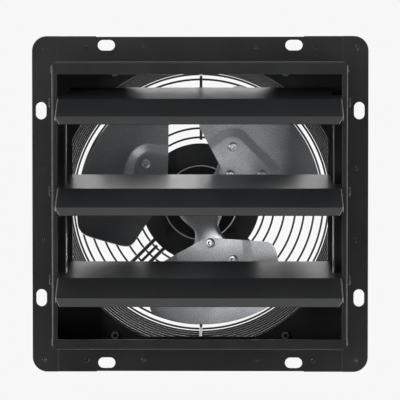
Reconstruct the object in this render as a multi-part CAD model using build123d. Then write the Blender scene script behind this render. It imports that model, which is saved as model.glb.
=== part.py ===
from build123d import *
import os
from math import asin, cos, degrees, radians, sin, sqrt

# Shutter exhaust fan for a wall opening. A square flanged frame carries three hinged louvers
# in a shallow box in front, and a caged fan and motor behind.
# X runs to the right, Y from the outdoor side to the room side and Z up, in millimetres.
# The origin is the centre of the flange's front face, which meets the wall.

# Sheet metal and clearances
sheet = 1.0
bend_r = 1.3
seam_gap = 0.1
press_gap = 0.02
running_gap = 0.05
open_pivot_gap = 0.3
weld_gap = 0.04
overrun = 5.0

# The fan's circle, which the shutter box and the flange are built round
fan_r = 127.0

# Shutter box
box_side_gap = 17.2
box_end_gap = 13.65
box_width = 2 * (fan_r + box_side_gap)
box_height = 2 * (fan_r + box_end_gap)
box_depth = 60.0
side_lip = 5.4
top_lip = 12.4
bottom_lip = 10.1
rim_clip = 4.0
corner_tab_height = 11.6
corner_tab_inset = 4.0

# Flange and its slots
flange_strip = 25.8
flange_side = box_width + 2 * flange_strip
flange_corner_r = 15.0
edge_step = 0.7
edge_step_share = 0.309
slot_length = 17.4
slot_width = 10.7
slot_pitch = 189.5
slot_inset = 9.2
slot_row_spacing = flange_side - 2 * slot_inset

# Round opening of the fan panel, cut short at the box walls
orifice_gap = 18.3
orifice_r = fan_r + orifice_gap
orifice_side_inset = 15.0
orifice_end_inset = 6.65
orifice_half_width = box_width / 2 - orifice_side_inset
orifice_half_height = box_height / 2 - orifice_end_inset

# Flange rivets, set flush
flush_rivet_r = 1.2
flush_rivet_head_r = 2.2
flush_rivet_head = 0.7
flange_rivet_inset = 12.0
flange_rivet_line = flange_side / 2 - flange_rivet_inset
flange_rivet_near = 57.0
flange_rivet_far = 115.0
side_rivet_reach = 36.5

# Rivets of the box corners
corner_rivet_r = 1.6
corner_rivet_head_r = 3.0
corner_rivet_head = 1.2
corner_rivet_drop = 6.0
corner_rivet_front = 8.0
corner_rivet_rear = 45.0

# Louvers, seen from the side in the open pose: reach forward of the pivot and height over it
louver_count = 3
louver_end_margin = 20.3
louver_pitch = (box_height - louver_end_margin) / louver_count
louver_pivot_depth = 10.4
top_pivot_drop = 39.65
top_pivot_height = box_height / 2 - top_pivot_drop
louver_side_gap = 6.2
louver_half_width = box_width / 2 - louver_side_gap
louver_sheet = 0.8
louver_rear = (-32.8, 16.0)
louver_fold_one = (16.2, 2.8)
louver_fold_two = (40.6, -14.8)
louver_edge = (47.0, -22.1)
louver_bend_r = 1.2
louver_mitre = 5.0
louver_notch_width = 8.0
louver_notch_front = 1.0
tab_depth = 4.0
tab_lobe_r = 5.5

# Pivot pins and the bushes that they turn in
pivot_pin_r = 2.0
pivot_pin_head_r = 3.5
pivot_pin_head = 1.2
pivot_pin_end = 0.5
bush_shank_r = 3.4
bush_collar_r = 4.5
bush_head_r = 4.8
bush_head = 3.3
bush_head_round = 1.0
bush_side_gap = 0.3

# Link bars that join the louvers, and their pins
link_bar_thickness = 1.2
link_bar_width = 9.0
link_bar_inset = 5.6
link_bar_centre = louver_half_width - link_bar_inset
link_arm_back = 12.0
link_arm_drop = 4.0
link_pin_r = 2.0
link_pin_shoulder_r = 3.0
link_pin_head = 0.8
link_end_gap = 0.3
link_shoulder_gap = 0.1

# Wire guard
guard_wire_r = 1.1
guard_rib_r = 1.6
guard_front_wire_r = 2.0
guard_front_gap = 4.7
guard_front_r = orifice_r + guard_front_gap
guard_rib_start_gap = 0.6
guard_shoulder_gap = 8.5
guard_shoulder_r = fan_r + guard_shoulder_gap
guard_depth = 100.3
guard_shoulder_bend = 3.0
guard_rib_count = 8
side_ring_count = 9
side_ring_first_depth = 12.0
side_ring_end_gap = 7.5
side_ring_run = guard_depth - side_ring_first_depth - side_ring_end_gap
side_ring_pitch = side_ring_run / (side_ring_count - 1)
back_ring_shares = (0.941, 0.804, 0.653, 0.516, 0.347, 0.182, 0.040)

# Clips that hold the guard, with their screws and nuts
clip_angle = 57.0
clip_width = 12.0
clip_thickness = 1.5
clip_gap = 0.2
clip_foot = 9.5
clip_screw_reach = 8.5
screw_r = 2.0
screw_head_r = 3.9
screw_head = 2.6
screw_tail = 1.5
cross_recess_width = 0.9
cross_recess_depth = 1.3
nut_half_flats = 3.5
nut_height = 3.0

# Motor
motor_r = 48.0
motor_wall = 1.2
motor_step_width = 8.6
motor_step_r = motor_r - motor_step_width
motor_front_y = 65.0
motor_step = 4.5
motor_split_y = 95.0
motor_rear_y = 122.0
motor_round = 5.0
motor_step_round = 1.0
motor_shaft_hole_r = 6.0
bearing_boss_r = 10.0
bearing_r = 8.0
bearing_length = 10.0
shaft_r = 4.0
shaft_front_y = 36.0
shaft_end_gap = 0.5
shaft_round = 0.6

# Motor insides
stator_y = 84.0
stator_length = 22.0
slot_count = 8
stator_slot_margin = 10.0
stator_slot_outer_r = motor_r - stator_slot_margin
stator_slot_depth = 11.5
stator_slot_inner_r = stator_slot_outer_r - stator_slot_depth
stator_slot_width = 7.0
stator_slot_lip = 2.1
stator_bore_r = stator_slot_inner_r - stator_slot_lip
air_gap = 0.4
coil_gap = 0.2
coil_end = 7.0
rotor_hub_r = 6.5
rotor_end_ring = 2.0
rotor_end_ring_thickness = 3.0
thrust_washer_r = 7.5
thrust_washer = 1.0
thrust_play = 0.1

# Motor mounting
plate_margin = 14.5
plate_r = motor_r + plate_margin
guard_rib_inner_gap = 4.0
guard_rib_inner_r = plate_r + guard_rib_inner_gap
plate_thickness = 1.5
plate_hole_gap = 0.1
plate_round = 0.5
bolt_r = 2.0
bolt_step_gap = 4.1
bolt_circle_r = motor_step_r + bolt_step_gap
bolt_head_r = 3.5
bolt_head = 2.6
bolt_tail = 1.5
leg_count = 4
first_leg_angle = 45.0
leg_wire_r = 2.0
leg_half_spacing = 6.8
leg_start_gap = 3.5
leg_inner_r = motor_r + leg_start_gap
leg_plate_overhang = 1.5
leg_plate_end_r = plate_r + leg_plate_overhang
leg_guard_reach = 15.0
leg_end_inset = 4.5
leg_outer_r = guard_shoulder_r - leg_end_inset
leg_guard_start_r = leg_outer_r - leg_guard_reach
leg_bend = 10.0

# Cable gland at the back of the motor
gland_edge_gap = 20.0
gland_drop = motor_r - gland_edge_gap
gland_bore_r = 3.2
gland_shank_r = 5.0
gland_hex_half_flats = 8.0
gland_flange = 4.0
gland_dome = 9.0
gland_dome_r = 7.2
gland_nut = 3.0

# Fan wheel
fan_y = 48.0
blade_count = 3
first_blade_angle = 43.0
blade_pitch = 20.0
blade_camber_r = 300.0
blade_sheet = 1.2
blade_bead = 1.2
spider_sheet = 2.0
spider_disc_r = 26.0
spider_disc_sheet = 2.5
blade_outline_shares = (
    (0.297, -0.056), (0.325, -0.135), (0.380, -0.286), (0.428, -0.423), (0.455, -0.506),
    (0.491, -0.529), (0.569, -0.532), (0.755, -0.537), (0.831, -0.534), (0.884, -0.484),
)
blade_trailing_shares = ((0.813, 0.593), (0.739, 0.602), (0.441, 0.561), (0.330, 0.153))
bead_outer_shares = (
    (0.330, -0.340), (0.590, -0.292), (0.655, -0.235), (0.680, -0.150),
    (0.680, 0.150), (0.655, 0.235), (0.590, 0.292), (0.330, 0.340),
)
bead_inner_shares = (
    (0.330, 0.262), (0.540, 0.224), (0.575, 0.185), (0.585, 0.120),
    (0.585, -0.120), (0.575, -0.185), (0.540, -0.224), (0.330, -0.262),
)
spider_arm_shares = (
    (0.155, -0.100), (0.240, -0.104), (0.360, -0.115), (0.450, -0.215), (0.560, -0.222), (0.600, -0.170),
    (0.600, 0.170), (0.560, 0.228), (0.450, 0.215), (0.360, 0.115), (0.240, 0.104), (0.155, 0.100),
)
blade_rivet_shares = ((0.336, -0.008), (0.507, -0.164), (0.526, 0.170))
blade_rivet_r = 2.4
blade_rivet_head_r = 5.0
blade_rivet_head = 2.2
blade_rivet_tail_r = 4.0
blade_rivet_tail = 1.6
blade_rivet_round = 1.4

# Hub
hub_r = 11.0
hub_front_y = 38.5
hub_rear_y = 58.0
hub_flange_r = 18.8
hub_flange = 3.0
hub_round = 0.8
hub_rivet_circle_r = 15.0
hub_rivet_r = 1.8
hub_rivet_head_r = 2.9
hub_rivet_head = 1.2
set_screw_r = 2.5
set_screw_y = 43.5
set_screw_stand = 1.5
set_screw_key = 1.5
set_screw_key_depth = 2.5

# Places worked out from the sizes above
half_flange = flange_side / 2
half_width = box_width / 2
half_height = box_height / 2
inner_half_width = half_width - sheet
inner_half_height = half_height - sheet
rim_y = -box_depth
panel_front_y = sheet
panel_rear_y = panel_front_y + sheet
top_lip_edge = half_height - top_lip
bottom_lip_edge = bottom_lip - half_height
pivot_y = rim_y + louver_pivot_depth
pivot_heights = [top_pivot_height - n * louver_pitch for n in range(louver_count)]
tab_inner_x = louver_half_width - louver_sheet
bar_outer_x = link_bar_centre + link_bar_thickness / 2
bar_inner_x = link_bar_centre - link_bar_thickness / 2
plate_front_y = motor_front_y + motor_step - plate_thickness
plate_rear_y = plate_front_y + plate_thickness
front_ring_y = panel_rear_y + guard_front_wire_r + weld_gap
ring_offset = guard_wire_r + guard_rib_r + weld_gap
back_ring_y = guard_depth + ring_offset
rib_start_y = panel_rear_y + guard_rib_start_gap
rib_front_r = guard_front_r - guard_front_wire_r - guard_rib_r - weld_gap
leg_guard_y = back_ring_y - guard_wire_r - leg_wire_r - weld_gap
leg_plate_y = plate_rear_y + leg_wire_r + weld_gap
stator_r = motor_r - motor_wall - press_gap
stator_rear_y = stator_y + stator_length
rotor_r = stator_bore_r - air_gap
front_bearing_y = motor_front_y + motor_wall + press_gap
rear_bearing_y = motor_rear_y - motor_wall - press_gap - bearing_length
blade_angles = [first_blade_angle + n * 360 / blade_count for n in range(blade_count)]


# Building blocks

def along_x(radius, x0, x1, y, z):
    """A round bar parallel to X."""
    return Pos((x0 + x1) / 2, y, z) * Rot(0, 90, 0) * Cylinder(radius, abs(x1 - x0))


def along_y(radius, y0, y1, x=0, z=0):
    """A round bar parallel to Y."""
    return Pos(x, (y0 + y1) / 2, z) * Rot(90, 0, 0) * Cylinder(radius, abs(y1 - y0))


def block(x0, x1, y0, y1, z0, z1):
    """A box between two corners."""
    return Pos((x0 + x1) / 2, (y0 + y1) / 2, (z0 + z1) / 2) * Box(abs(x1 - x0), abs(y1 - y0), abs(z1 - z0))


def plate(outline, y0, y1):
    """A flat plate of this outline, drawn with X to the right and Z up, between two depths."""
    face = Plane((0, y1, 0), x_dir=(1, 0, 0), z_dir=(0, -1, 0)) * outline
    return extrude(face, amount=y1 - y0)


def side_plate(outline, x0, x1):
    """A plate whose outline is drawn in Y and Z, between two places along X."""
    face = Plane((x0, 0, 0), x_dir=(0, 1, 0), z_dir=(1, 0, 0)) * outline
    return extrude(face, amount=x1 - x0)


def polygon(points):
    """A flat outline through these points."""
    return make_face(Polyline(*points, close=True))


def folded(points, thickness, bend):
    """The cross-section of a sheet folded along the middle line through these points."""
    return trace(FilletPolyline(*points, radius=bend), line_width=thickness)


def turned(profile):
    """A turned piece about the fan's axis, from its radius and depth."""
    return revolve(polygon(profile), Axis.Y)


def hex_along_y(half_flats, y0, y1, x=0, z=0):
    """A hexagonal bar parallel to Y."""
    outline = Pos(x, z) * RegularPolygon(half_flats / cos(radians(30)), 6)
    return plate(outline, y0, y1)


def wire(points, bend, radius):
    """A bent wire through points in X and Y."""
    path = FilletPolyline(*points, radius=bend)
    section = Plane(path @ 0, z_dir=path % 0) * Circle(radius)
    return sweep(section, path=path)


def ring(radius, wire_radius, y):
    """A closed wire ring about the fan's axis."""
    return Pos(0, y, 0) * Rot(90, 0, 0) * Torus(radius, wire_radius)


def about_axis(piece, angle):
    """A piece turned about the fan's axis, counter-clockwise as seen from the front."""
    return Rot(0, -angle, 0) * piece


def on_circle(radius, angle):
    """A place on a circle about the fan's axis, counter-clockwise as seen from the front."""
    return radius * cos(radians(angle)), radius * sin(radians(angle))


def mirrored(piece):
    """The same piece on the other side, left for right."""
    return mirror(piece, about=Plane.YZ)


def cross_recess(y_face, direction, x, z, radius):
    """The cutter for a cross recess in a screw head that faces along Y."""
    y_deep = y_face - direction * cross_recess_depth
    y_out = y_face + direction * overrun
    y0, y1 = min(y_deep, y_out), max(y_deep, y_out)
    arm = radius / 2
    half = cross_recess_width / 2
    bar = block(x - arm, x + arm, y0, y1, z - half, z + half)
    return bar + block(x - half, x + half, y0, y1, z - arm, z + arm)


# Hole patterns of the flange

def flange_rivet_places():
    """The rivets that hold the flange strips to the fan panel."""
    line = flange_rivet_line
    corners = [(sx, sz) for sx in (-1, 1) for sz in (-1, 1)]
    places = [(sx * line, sz * line) for sx, sz in corners]
    places += [(sx * x, sz * line) for sx, sz in corners for x in (flange_rivet_near, flange_rivet_far)]
    places += [(sx * line, sz * side_rivet_reach) for sx, sz in corners]
    return places


def slot_cutters():
    """The eight fixing slots, long side along their own edge of the flange."""
    row = slot_row_spacing / 2
    half = slot_pitch / 2
    flat = SlotOverall(slot_length, slot_width)
    upright = Rot(0, 0, 90) * flat
    cutters = [Pos(sx * half, sz * row) * flat for sx in (-1, 1) for sz in (-1, 1)]
    cutters += [Pos(sx * row, sz * half) * upright for sx in (-1, 1) for sz in (-1, 1)]
    return [plate(c, -overrun, panel_rear_y + overrun) for c in cutters]


def flange_holes(through_strip):
    """Slots and rivet holes, countersunk in the strips that carry the flush heads."""
    cutters = slot_cutters()
    for x, z in flange_rivet_places():
        cutters.append(along_y(flush_rivet_r + press_gap, -overrun, panel_rear_y + overrun, x, z))
        if through_strip:
            cutters.append(along_y(flush_rivet_head_r + press_gap, -overrun, flush_rivet_head, x, z))
    return cutters


def frame_side():
    """The right-hand frame side: a flange strip at full height, the box wall and a front lip."""
    middle = half_width - sheet / 2
    lip_y = rim_y + sheet / 2
    line = [(half_flange, sheet / 2), (middle, sheet / 2), (middle, lip_y), (half_width - side_lip, lip_y)]
    section = folded(line, sheet, bend_r)
    wall = Pos(0, 0, -half_height) * extrude(section, amount=box_height)
    outline = RectangleRounded(flange_side, flange_side, flange_corner_r)
    strip = plate(outline, 0, sheet) & block(half_width, half_flange, 0, sheet, -half_flange, half_flange)
    strip -= block(half_width, half_width + bend_r + sheet, 0, sheet, -half_height, half_height)
    piece = wall & block(0, half_flange, rim_y, sheet, -half_height, half_height)
    piece -= block(half_flange - flange_corner_r, half_flange, 0, sheet, -half_flange, half_flange)
    piece += strip
    for z_edge, z_far in ((top_lip_edge - seam_gap, half_height), (bottom_lip_edge + seam_gap, -half_height)):
        piece -= block(0, inner_half_width + seam_gap, rim_y - overrun, rim_y + bend_r + sheet, z_edge, z_far)
    for z in pivot_heights:
        piece -= along_x(bush_shank_r + press_gap, half_width - overrun, half_width + overrun, pivot_y, z)
    for y, z in corner_rivet_places():
        piece -= along_x(corner_rivet_r + press_gap, half_width - overrun, half_width + overrun, y, z)
    return (piece - flange_holes(True)) - rim_clip_cutters()


def frame_end(side):
    """The top (side 1) or bottom (side -1): flange strip, box wall, front lip and corner tabs."""
    lip = top_lip if side > 0 else bottom_lip
    middle = half_height - sheet / 2
    lip_y = rim_y + sheet / 2
    strip_end = half_flange - edge_step
    line = [(sheet / 2, strip_end), (sheet / 2, middle), (lip_y, middle), (lip_y, half_height - lip)]
    reach = inner_half_width - seam_gap
    piece = side_plate(folded(line, sheet, bend_r), -reach, reach)
    strip_reach = half_width - seam_gap
    piece += block(-strip_reach, strip_reach, 0, sheet, half_height + seam_gap, strip_end)
    tab_y0 = rim_y + corner_tab_inset
    tab_y1 = -corner_tab_inset
    for sx in (-1, 1):
        tab_end = inner_half_height - corner_tab_height
        piece += block(sx * reach, sx * (reach - sheet), tab_y0, tab_y1, tab_end, middle)
        for y, z in corner_rivet_places():
            piece -= along_x(corner_rivet_r + press_gap, sx * (reach - overrun), sx * (reach + overrun), y, z)
    if side < 0:
        piece = mirror(piece, about=Plane.XY)
    return (piece - flange_holes(True)) - rim_clip_cutters()


def rim_clip_cutters():
    """The clipped corners of the front rim."""
    cutters = []
    for sx in (-1, 1):
        for sz in (-1, 1):
            corner = [
                (sx * half_width, sz * (half_height - rim_clip)),
                (sx * (half_width - rim_clip), sz * half_height),
                (sx * (half_width + overrun), sz * (half_height + overrun)),
            ]
            cutters.append(plate(polygon(corner), rim_y - overrun, rim_y + corner_tab_inset))
    return cutters


def corner_rivet_places():
    """Depth and height of the rivets at the box corners."""
    z = inner_half_height - corner_rivet_drop
    return [(rim_y + y, sz * z) for y in (corner_rivet_front, corner_rivet_rear) for sz in (-1, 1)]


def fan_panel():
    """The flat panel behind the flange, with the round opening cut short by the box."""
    blank = RectangleRounded(flange_side, flange_side, flange_corner_r)
    opening = Circle(orifice_r) & Rectangle(2 * orifice_half_width, 2 * orifice_half_height)
    piece = plate(blank - opening, panel_front_y, panel_rear_y)
    for sz in (-1, 1):
        z_edge = sz * (half_flange - edge_step)
        z_out = sz * (half_flange + overrun)
        reach = edge_step_share * flange_side
        piece -= block(-reach, reach, 0, panel_rear_y + overrun, z_edge, z_out)
    piece -= flange_holes(False)
    for x, z in clip_screw_places():
        piece -= along_y(screw_r + press_gap, 0, panel_rear_y + overrun, x, z)
    return piece


def flange_rivet(x, z):
    """A flush rivet through a flange strip and the panel."""
    piece = along_y(flush_rivet_r, 0, panel_rear_y, x, z)
    piece += along_y(flush_rivet_head_r, 0, flush_rivet_head, x, z)
    piece += along_y(flush_rivet_head_r, panel_rear_y, panel_rear_y + flush_rivet_head, x, z)
    return piece - along_y(flush_rivet_r / 2, -overrun, flush_rivet_head / 2, x, z)


def corner_rivet(sx, y, z):
    """A domed rivet that joins a frame end's tab to a frame side."""
    tab_face = inner_half_width - seam_gap - sheet
    head = along_x(corner_rivet_head_r, half_width, half_width + corner_rivet_head, y, z)
    head = fillet(head.faces().sort_by(Axis.X)[-1].edges(), corner_rivet_head / 2)
    piece = head + along_x(corner_rivet_r, tab_face, half_width, y, z)
    piece += along_x(corner_rivet_head_r, tab_face - corner_rivet_head, tab_face, y, z)
    return piece if sx > 0 else mirrored(piece)


# Louvers

def louver_line(height):
    """The louver's middle line as depth and height, from its rear edge to its front lip."""
    points = (louver_rear, louver_fold_one, louver_fold_two, louver_edge)
    return [(pivot_y - forward, height + up) for forward, up in points]


def link_pin_place(height):
    """Depth and height of the link pin of the louver whose pivot is at this height."""
    return pivot_y + link_arm_back, height - link_arm_drop


def louver(height):
    """One louver: a folded blade with notched rear corners, a mitred lip and two end tabs."""
    line = louver_line(height)
    (rear_y, rear_z), (fold_y, fold_z), (knee_y, knee_z), (edge_y, _) = line
    blade = side_plate(folded(line, louver_sheet, louver_bend_r), -louver_half_width, louver_half_width)
    notch_y = pivot_y - louver_notch_front
    inner = louver_half_width - louver_notch_width
    lip = louver_half_width - louver_mitre
    right = [
        (inner, rear_y + overrun), (inner, notch_y), (louver_half_width, notch_y),
        (louver_half_width, knee_y), (lip, edge_y), (lip, edge_y - overrun),
    ]
    plan = polygon(right + [(-x, y) for x, y in reversed(right)])
    blade &= Pos(0, 0, height - box_height / 2) * extrude(plan, amount=box_height)
    slope = (rear_z - fold_z) / (rear_y - fold_y)
    notch_z = fold_z + slope * (notch_y - fold_y)
    pin_y, pin_z = link_pin_place(height)
    web = polygon([
        (knee_y, knee_z), (fold_y, fold_z), (notch_y, notch_z), (pin_y, pin_z + tab_lobe_r),
        (pin_y, pin_z - tab_lobe_r), (pivot_y, height - tab_lobe_r), (knee_y, knee_z - tab_depth),
    ])
    outline = web + Pos(pin_y, pin_z) * Circle(tab_lobe_r) + Pos(pivot_y, height) * Circle(tab_lobe_r)
    tab = side_plate(outline, tab_inner_x, louver_half_width)
    hole_x0 = tab_inner_x - overrun
    hole_x1 = louver_half_width + overrun
    tab -= along_x(pivot_pin_r + press_gap, hole_x0, hole_x1, pivot_y, height)
    tab -= along_x(link_pin_r + press_gap, hole_x0, hole_x1, pin_y, pin_z)
    return blade + tab + mirrored(tab)


def pivot_pin(height):
    """The right-hand pivot pin, riveted in the louver's tab."""
    end = half_width + bush_head - pivot_pin_end
    piece = along_x(pivot_pin_r, tab_inner_x, end, pivot_y, height)
    return piece + along_x(pivot_pin_head_r, tab_inner_x - pivot_pin_head, tab_inner_x, pivot_y, height)


def pivot_bush(height):
    """The right-hand bush in the box wall: an outer head, a shank and an inner collar."""
    head = along_x(bush_head_r, half_width, half_width + bush_head, pivot_y, height)
    head = fillet(head.faces().sort_by(Axis.X)[-1].edges(), bush_head_round)
    piece = head + along_x(bush_shank_r, inner_half_width, half_width, pivot_y, height)
    piece += along_x(bush_collar_r, louver_half_width + bush_side_gap, inner_half_width, pivot_y, height)
    bore_end = half_width + bush_head + overrun
    return piece - along_x(pivot_pin_r + running_gap, louver_half_width - overrun, bore_end, pivot_y, height)


def link_pin(height):
    """The right-hand link pin: a rivet head, a shoulder, the journal and a retaining head."""
    y, z = link_pin_place(height)
    journal_end = bar_inner_x - link_end_gap - link_pin_head
    shoulder_face = bar_outer_x + link_shoulder_gap
    piece = along_x(link_pin_r, journal_end, louver_half_width, y, z)
    piece += along_x(link_pin_shoulder_r, louver_half_width, louver_half_width + link_pin_head, y, z)
    piece += along_x(link_pin_shoulder_r, shoulder_face, tab_inner_x, y, z)
    return piece + along_x(link_pin_shoulder_r, journal_end, journal_end + link_pin_head, y, z)


def link_bar():
    """The right-hand bar that makes the three louvers swing together."""
    pins = [link_pin_place(h) for h in pivot_heights]
    y, top_z = pins[0]
    bottom_z = pins[-1][1]
    slot = Rot(0, 0, 90) * SlotCenterToCenter(top_z - bottom_z, link_bar_width)
    bar = side_plate(Pos(y, (top_z + bottom_z) / 2) * slot, bar_inner_x, bar_outer_x)
    for place, (pin_y, pin_z) in enumerate(pins):
        gap = running_gap if place == 0 else open_pivot_gap
        bar -= along_x(link_pin_r + gap, bar_inner_x - overrun, bar_outer_x + overrun, pin_y, pin_z)
    return bar


# Wire guard

def rib_side_r(y, outward):
    """The radius at this depth of a line that runs beside the ribs, this far outside them."""
    slope = (rib_front_r - guard_shoulder_r) / (guard_depth - rib_start_y)
    return rib_front_r - slope * (y - rib_start_y) + outward * sqrt(1 + slope * slope)


def guard_side_rings():
    """The rings round the side of the guard, and the one at its shoulder."""
    depths = [side_ring_first_depth + n * side_ring_pitch for n in range(side_ring_count)]
    rings = [ring(rib_side_r(y, ring_offset), guard_wire_r, y) for y in depths]
    reach = (guard_shoulder_bend + ring_offset) * sin(radians(45))
    bend_y = guard_depth - guard_shoulder_bend
    bend_centre_r = rib_side_r(bend_y, -guard_shoulder_bend)
    return rings + [ring(bend_centre_r + reach, guard_wire_r, bend_y + reach)]


def guard_rib():
    """One rib, from the front ring along the side and across the back."""
    points = [(rib_front_r, rib_start_y), (guard_shoulder_r, guard_depth), (guard_rib_inner_r, guard_depth)]
    return wire(points, guard_shoulder_bend, guard_rib_r)


def leg_angles():
    """Where the pairs of legs stand round the motor."""
    return [first_leg_angle + n * 360 / leg_count for n in range(leg_count)]


def support_leg():
    """One bent rod from the back of the motor plate to the back of the guard."""
    points = [
        (leg_inner_r, leg_plate_y), (leg_plate_end_r, leg_plate_y),
        (leg_guard_start_r, leg_guard_y), (leg_outer_r, leg_guard_y),
    ]
    return wire(points, leg_bend, leg_wire_r)


def clip_radius():
    """How far the clip screws stand from the fan's axis."""
    return guard_front_r + clip_screw_reach


def clip_angles():
    """The four clips, mirrored left to right and top to bottom."""
    return [clip_angle, 180 - clip_angle, 180 + clip_angle, 360 - clip_angle]


def clip_screw_places():
    """Where the clip screws pass through the panel."""
    return [on_circle(clip_radius(), a) for a in clip_angles()]


def box_section(x, half, y0, y1):
    """A flat rectangle about a middle line in X, between two depths."""
    return Pos(x, (y0 + y1) / 2) * Rectangle(2 * half, y1 - y0)


def guard_clip():
    """A saddle that holds the guard's front ring down on the panel."""
    bore = guard_front_wire_r + clip_gap
    outer = bore + clip_thickness
    base = panel_rear_y
    crown = Pos(guard_front_r, front_ring_y)
    shell = crown * Circle(outer) + box_section(guard_front_r, outer, base, front_ring_y)
    shell &= box_section(guard_front_r, outer, base, front_ring_y + outer)
    hollow = crown * Circle(bore) + box_section(guard_front_r, bore, base - outer, front_ring_y)
    foot_half = (outer + clip_foot) / 2
    foot = box_section(guard_front_r + foot_half, foot_half, base, base + clip_thickness)
    section = shell + foot - hollow
    clip = Pos(0, 0, -clip_width / 2) * extrude(section, amount=clip_width)
    hole = along_y(screw_r + press_gap, base - overrun, base + overrun, clip_radius(), 0)
    return clip - hole


def clip_screw(x, z):
    """A pan-head screw that goes through a clip from the room side."""
    seat = panel_rear_y + clip_thickness
    tail = panel_front_y - nut_height - screw_tail
    head = along_y(screw_head_r, seat, seat + screw_head, x, z)
    head = fillet(head.faces().sort_by(Axis.Y)[-1].edges(), screw_head / 2)
    piece = head + along_y(screw_r, tail, seat, x, z)
    return piece - cross_recess(seat + screw_head, 1, x, z, screw_head_r)


def clip_nut(x, z):
    """The nut of a clip screw, inside the box."""
    nut = hex_along_y(nut_half_flats, panel_front_y - nut_height, panel_front_y, x, z)
    return nut - along_y(screw_r + press_gap, -overrun, panel_front_y + overrun, x, z)


# Motor

def motor_front_shell():
    """The front half of the motor casing, with the round step that the mounting plate fits over."""
    wall = motor_wall
    shoulder = motor_front_y + motor_step
    seat = bearing_boss_r
    boss_end = front_bearing_y + bearing_length
    inner_y = motor_front_y + wall
    fit_r = bearing_r + press_gap
    shell = turned([
        (motor_shaft_hole_r, motor_front_y), (motor_step_r, motor_front_y), (motor_step_r, shoulder),
        (motor_r, shoulder), (motor_r, motor_split_y), (motor_r - wall, motor_split_y),
        (motor_r - wall, shoulder + wall), (motor_step_r - wall, shoulder + wall),
        (motor_step_r - wall, inner_y), (seat, inner_y), (seat, boss_end), (fit_r, boss_end),
        (fit_r, inner_y), (motor_shaft_hole_r, inner_y),
    ])
    front_edges = shell.edges().filter_by(GeomType.CIRCLE).group_by(Axis.Y)[0]
    shell = fillet(front_edges.sort_by(SortBy.RADIUS)[-1], motor_step_round)
    return shell - bolt_cutters()


def motor_rear_shell():
    """The back half of the motor casing, with the rear bearing seat."""
    wall = motor_wall
    seat = bearing_boss_r
    boss_end = rear_bearing_y
    inner_y = motor_rear_y - wall
    corner_y = motor_rear_y - motor_round
    corner_r = motor_r - motor_round
    fit_r = bearing_r + press_gap
    shell = turned([
        (0, motor_rear_y), (corner_r, motor_rear_y), (motor_r, corner_y), (motor_r, motor_split_y),
        (motor_r - wall, motor_split_y), (motor_r - wall, corner_y), (corner_r, inner_y), (seat, inner_y),
        (seat, boss_end), (fit_r, boss_end), (fit_r, inner_y), (0, inner_y),
    ])
    shell -= along_y(gland_shank_r + press_gap, corner_y, motor_rear_y + overrun, 0, -gland_drop)
    return shell - bolt_cutters()


def bolt_places():
    """The through bolts of the motor."""
    return [on_circle(bolt_circle_r, a) for a in leg_angles()]


def bolt_cutters():
    """Clearance holes for the through bolts."""
    y0, y1 = motor_front_y - overrun, motor_rear_y + overrun
    return [along_y(bolt_r + press_gap, y0, y1, x, z) for x, z in bolt_places()]


def through_bolt(x, z):
    """A bolt that clamps the plate and both motor shells together."""
    head = hex_along_y(bolt_head_r, plate_front_y - bolt_head, plate_front_y, x, z)
    return head + along_y(bolt_r, plate_front_y, motor_rear_y + nut_height + bolt_tail, x, z)


def through_bolt_nut(x, z):
    """The nut at the back of the motor."""
    rear = motor_rear_y + nut_height
    nut = hex_along_y(nut_half_flats, motor_rear_y, rear, x, z)
    return nut - along_y(bolt_r + press_gap, motor_rear_y - overrun, rear + overrun, x, z)


def mounting_plate():
    """The round plate between the motor and the support legs."""
    outline = Circle(plate_r) - Circle(motor_step_r + plate_hole_gap)
    piece = plate(outline, plate_front_y, plate_rear_y)
    edge = piece.faces().sort_by(Axis.Y)[0].edges().sort_by(SortBy.RADIUS)[-1]
    return fillet(edge, plate_round) - bolt_cutters()


def bearing(y):
    """A plain sleeve bearing."""
    bore = along_y(shaft_r + running_gap, y - overrun, y + bearing_length + overrun)
    return along_y(bearing_r, y, y + bearing_length) - bore


def slot_bar(inner_r, outer_r, width, y0, y1, angle):
    """A straight bar that fills one stator slot."""
    return about_axis(block(inner_r, outer_r, y0, y1, -width / 2, width / 2), angle)


def stator_core():
    """The ring of laminations pressed into the casing."""
    y0, y1 = stator_y - overrun, stator_rear_y + overrun
    mouth = stator_slot_width / 2
    mouth_end = stator_slot_inner_r + press_gap
    core = along_y(stator_r, stator_y, stator_rear_y) - along_y(stator_bore_r, y0, y1)
    for n in range(slot_count):
        angle = (n + 1 / 2) * 360 / slot_count
        core -= slot_bar(stator_slot_inner_r, stator_slot_outer_r, stator_slot_width, y0, y1, angle)
        core -= slot_bar(stator_bore_r - overrun, mouth_end, mouth, y0, y1, angle)
    return core - bolt_cutters()


def stator_windings():
    """The windings: bars in the slots, joined by a ring of end turns at each end."""
    inner = stator_slot_inner_r + coil_gap
    outer = stator_slot_outer_r - coil_gap
    width = stator_slot_width - 2 * coil_gap
    y0 = stator_y - coil_gap
    y1 = stator_rear_y + coil_gap
    piece = turned([(inner, y0 - coil_end), (outer, y0 - coil_end), (outer, y0), (inner, y0)])
    piece += turned([(inner, y1), (outer, y1), (outer, y1 + coil_end), (inner, y1 + coil_end)])
    for n in range(slot_count):
        angle = (n + 1 / 2) * 360 / slot_count
        bar_y0, bar_y1 = y0 - coil_end / 2, y1 + coil_end / 2
        piece += slot_bar(inner + coil_gap, outer - coil_gap, width, bar_y0, bar_y1, angle)
    return piece


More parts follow.
